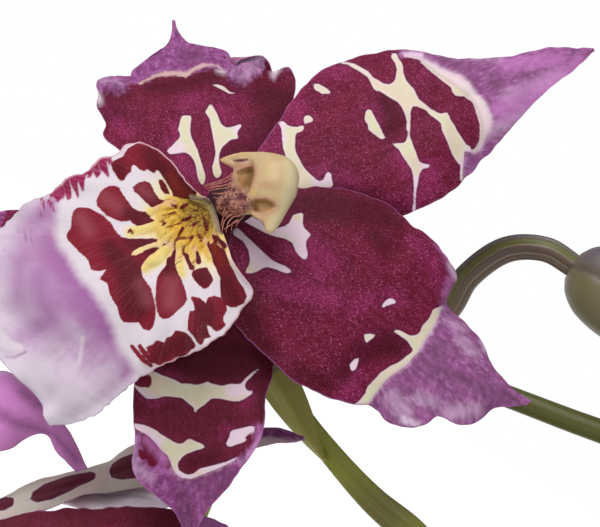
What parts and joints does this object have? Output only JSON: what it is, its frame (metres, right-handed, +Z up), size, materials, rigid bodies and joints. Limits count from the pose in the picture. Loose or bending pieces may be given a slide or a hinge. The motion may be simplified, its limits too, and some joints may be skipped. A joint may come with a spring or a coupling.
{
  "type": "potted orchid",
  "caption": "Potted orchid with strap leaves, a tall arching flower spike, wine-red cream-netted blooms with lilac tips and lips, and buds.",
  "frame": {"origin": "centre of the pot's underside", "axes": "+Z up along the pot's axis, -Y the side that the blooms face, +X to the right of that side"},
  "size_m": [0.36, 0.3312, 0.54],
  "materials": {
    "clay": "matt fired clay",
    "bark": "rough broken bark",
    "bulb": "smooth waxy skin with ridges",
    "leaf": "smooth, slightly waxy leaf",
    "stem": "smooth olive stalk with purple shading",
    "bud": "satin olive skin flushed purple",
    "tepal": "velvety petal, wine red with cream marks and lilac tips",
    "lip": "soft lilac petal with crimson blotches and a yellow crest",
    "column": "waxy cream cap"
  },
  "bodies": {
    "root": {"pot": "clay", "bark_bed": "bark", "pseudobulb_1": "bulb", "pseudobulb_2": "bulb", "pseudobulb_3": "bulb", "leaf_1": "leaf", "leaf_2": "leaf", "leaf_3": "leaf", "leaf_4": "leaf", "leaf_5": "leaf", "leaf_6": "leaf", "leaf_7": "leaf", "leaf_8": "leaf", "flower_spike": "stem", "bud_1": "bud", "bud_2": "bud", "bud_3": "bud", "bud_4": "bud", "bloom_1_tepals": "tepal", "bloom_1_lip": "lip", "bloom_1_column": "column", "bloom_2_tepals": "tepal", "bloom_2_lip": "lip", "bloom_2_column": "column", "bloom_3_tepals": "tepal", "bloom_3_lip": "lip", "bloom_3_column": "column", "bloom_4_tepals": "tepal", "bloom_4_lip": "lip", "bloom_4_column": "column", "bloom_5_tepals": "tepal", "bloom_5_lip": "lip", "bloom_5_column": "column", "bloom_6_tepals": "tepal", "bloom_6_lip": "lip", "bloom_6_column": "column"}
  },
  "joints": []
}
